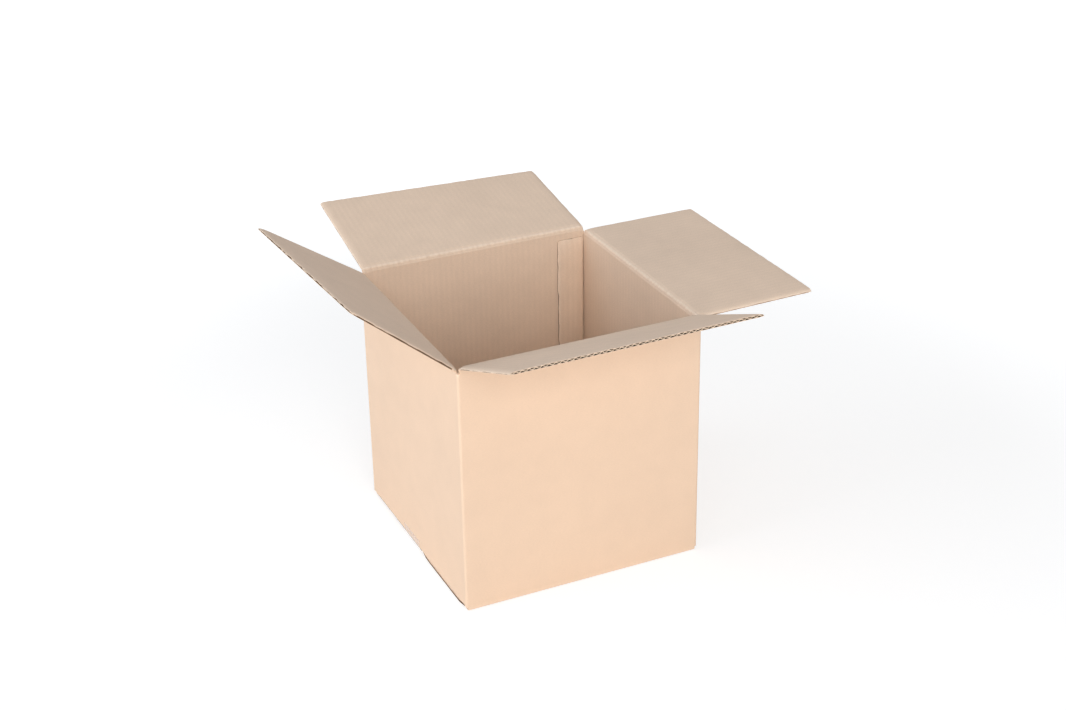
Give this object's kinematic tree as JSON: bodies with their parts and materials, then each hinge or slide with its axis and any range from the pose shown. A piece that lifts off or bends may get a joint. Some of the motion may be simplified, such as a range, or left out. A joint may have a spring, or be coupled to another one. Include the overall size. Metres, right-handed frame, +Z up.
{
  "type": "open cardboard box",
  "caption": "Corrugated cardboard box standing open, taped shut at the bottom, with hinged top flaps leaning outwards.",
  "frame": {"origin": "on the ground, under the middle of the box's four walls", "axes": "+Z up, +X along the front wall to the right wall, +Y from the front wall to the back wall"},
  "size_m": [0.5869, 0.597, 0.4009],
  "materials": {
    "board": "uncoated kraft liner",
    "tape": "clear glossy film"
  },
  "bodies": {
    "carton": {"carton": "board", "bottom_tape": "tape"},
    "front_flap": {"top_flap_front": "board"},
    "back_flap": {"top_flap_back": "board"},
    "left_flap": {"top_flap_left": "board"},
    "right_flap": {"top_flap_right": "board"}
  },
  "joints": [
    {"name": "front_flap_fold", "type": "hinge", "parent": "carton", "child": "front_flap", "pos_m": [0, -0.154, 0.3166], "axis": [1, 0, 0], "range_deg": [-157, 103]},
    {"name": "back_flap_fold", "type": "hinge", "parent": "carton", "child": "back_flap", "pos_m": [0, 0.154, 0.3166], "axis": [-1, 0, 0], "range_deg": [-167, 93]},
    {"name": "left_flap_fold", "type": "hinge", "parent": "carton", "child": "left_flap", "pos_m": [-0.154, 0, 0.3123], "axis": [0, -1, 0], "range_deg": [-146, 114]},
    {"name": "right_flap_fold", "type": "hinge", "parent": "carton", "child": "right_flap", "pos_m": [0.154, 0, 0.3123], "axis": [0, 1, 0], "range_deg": [-180, 80]}
  ]
}
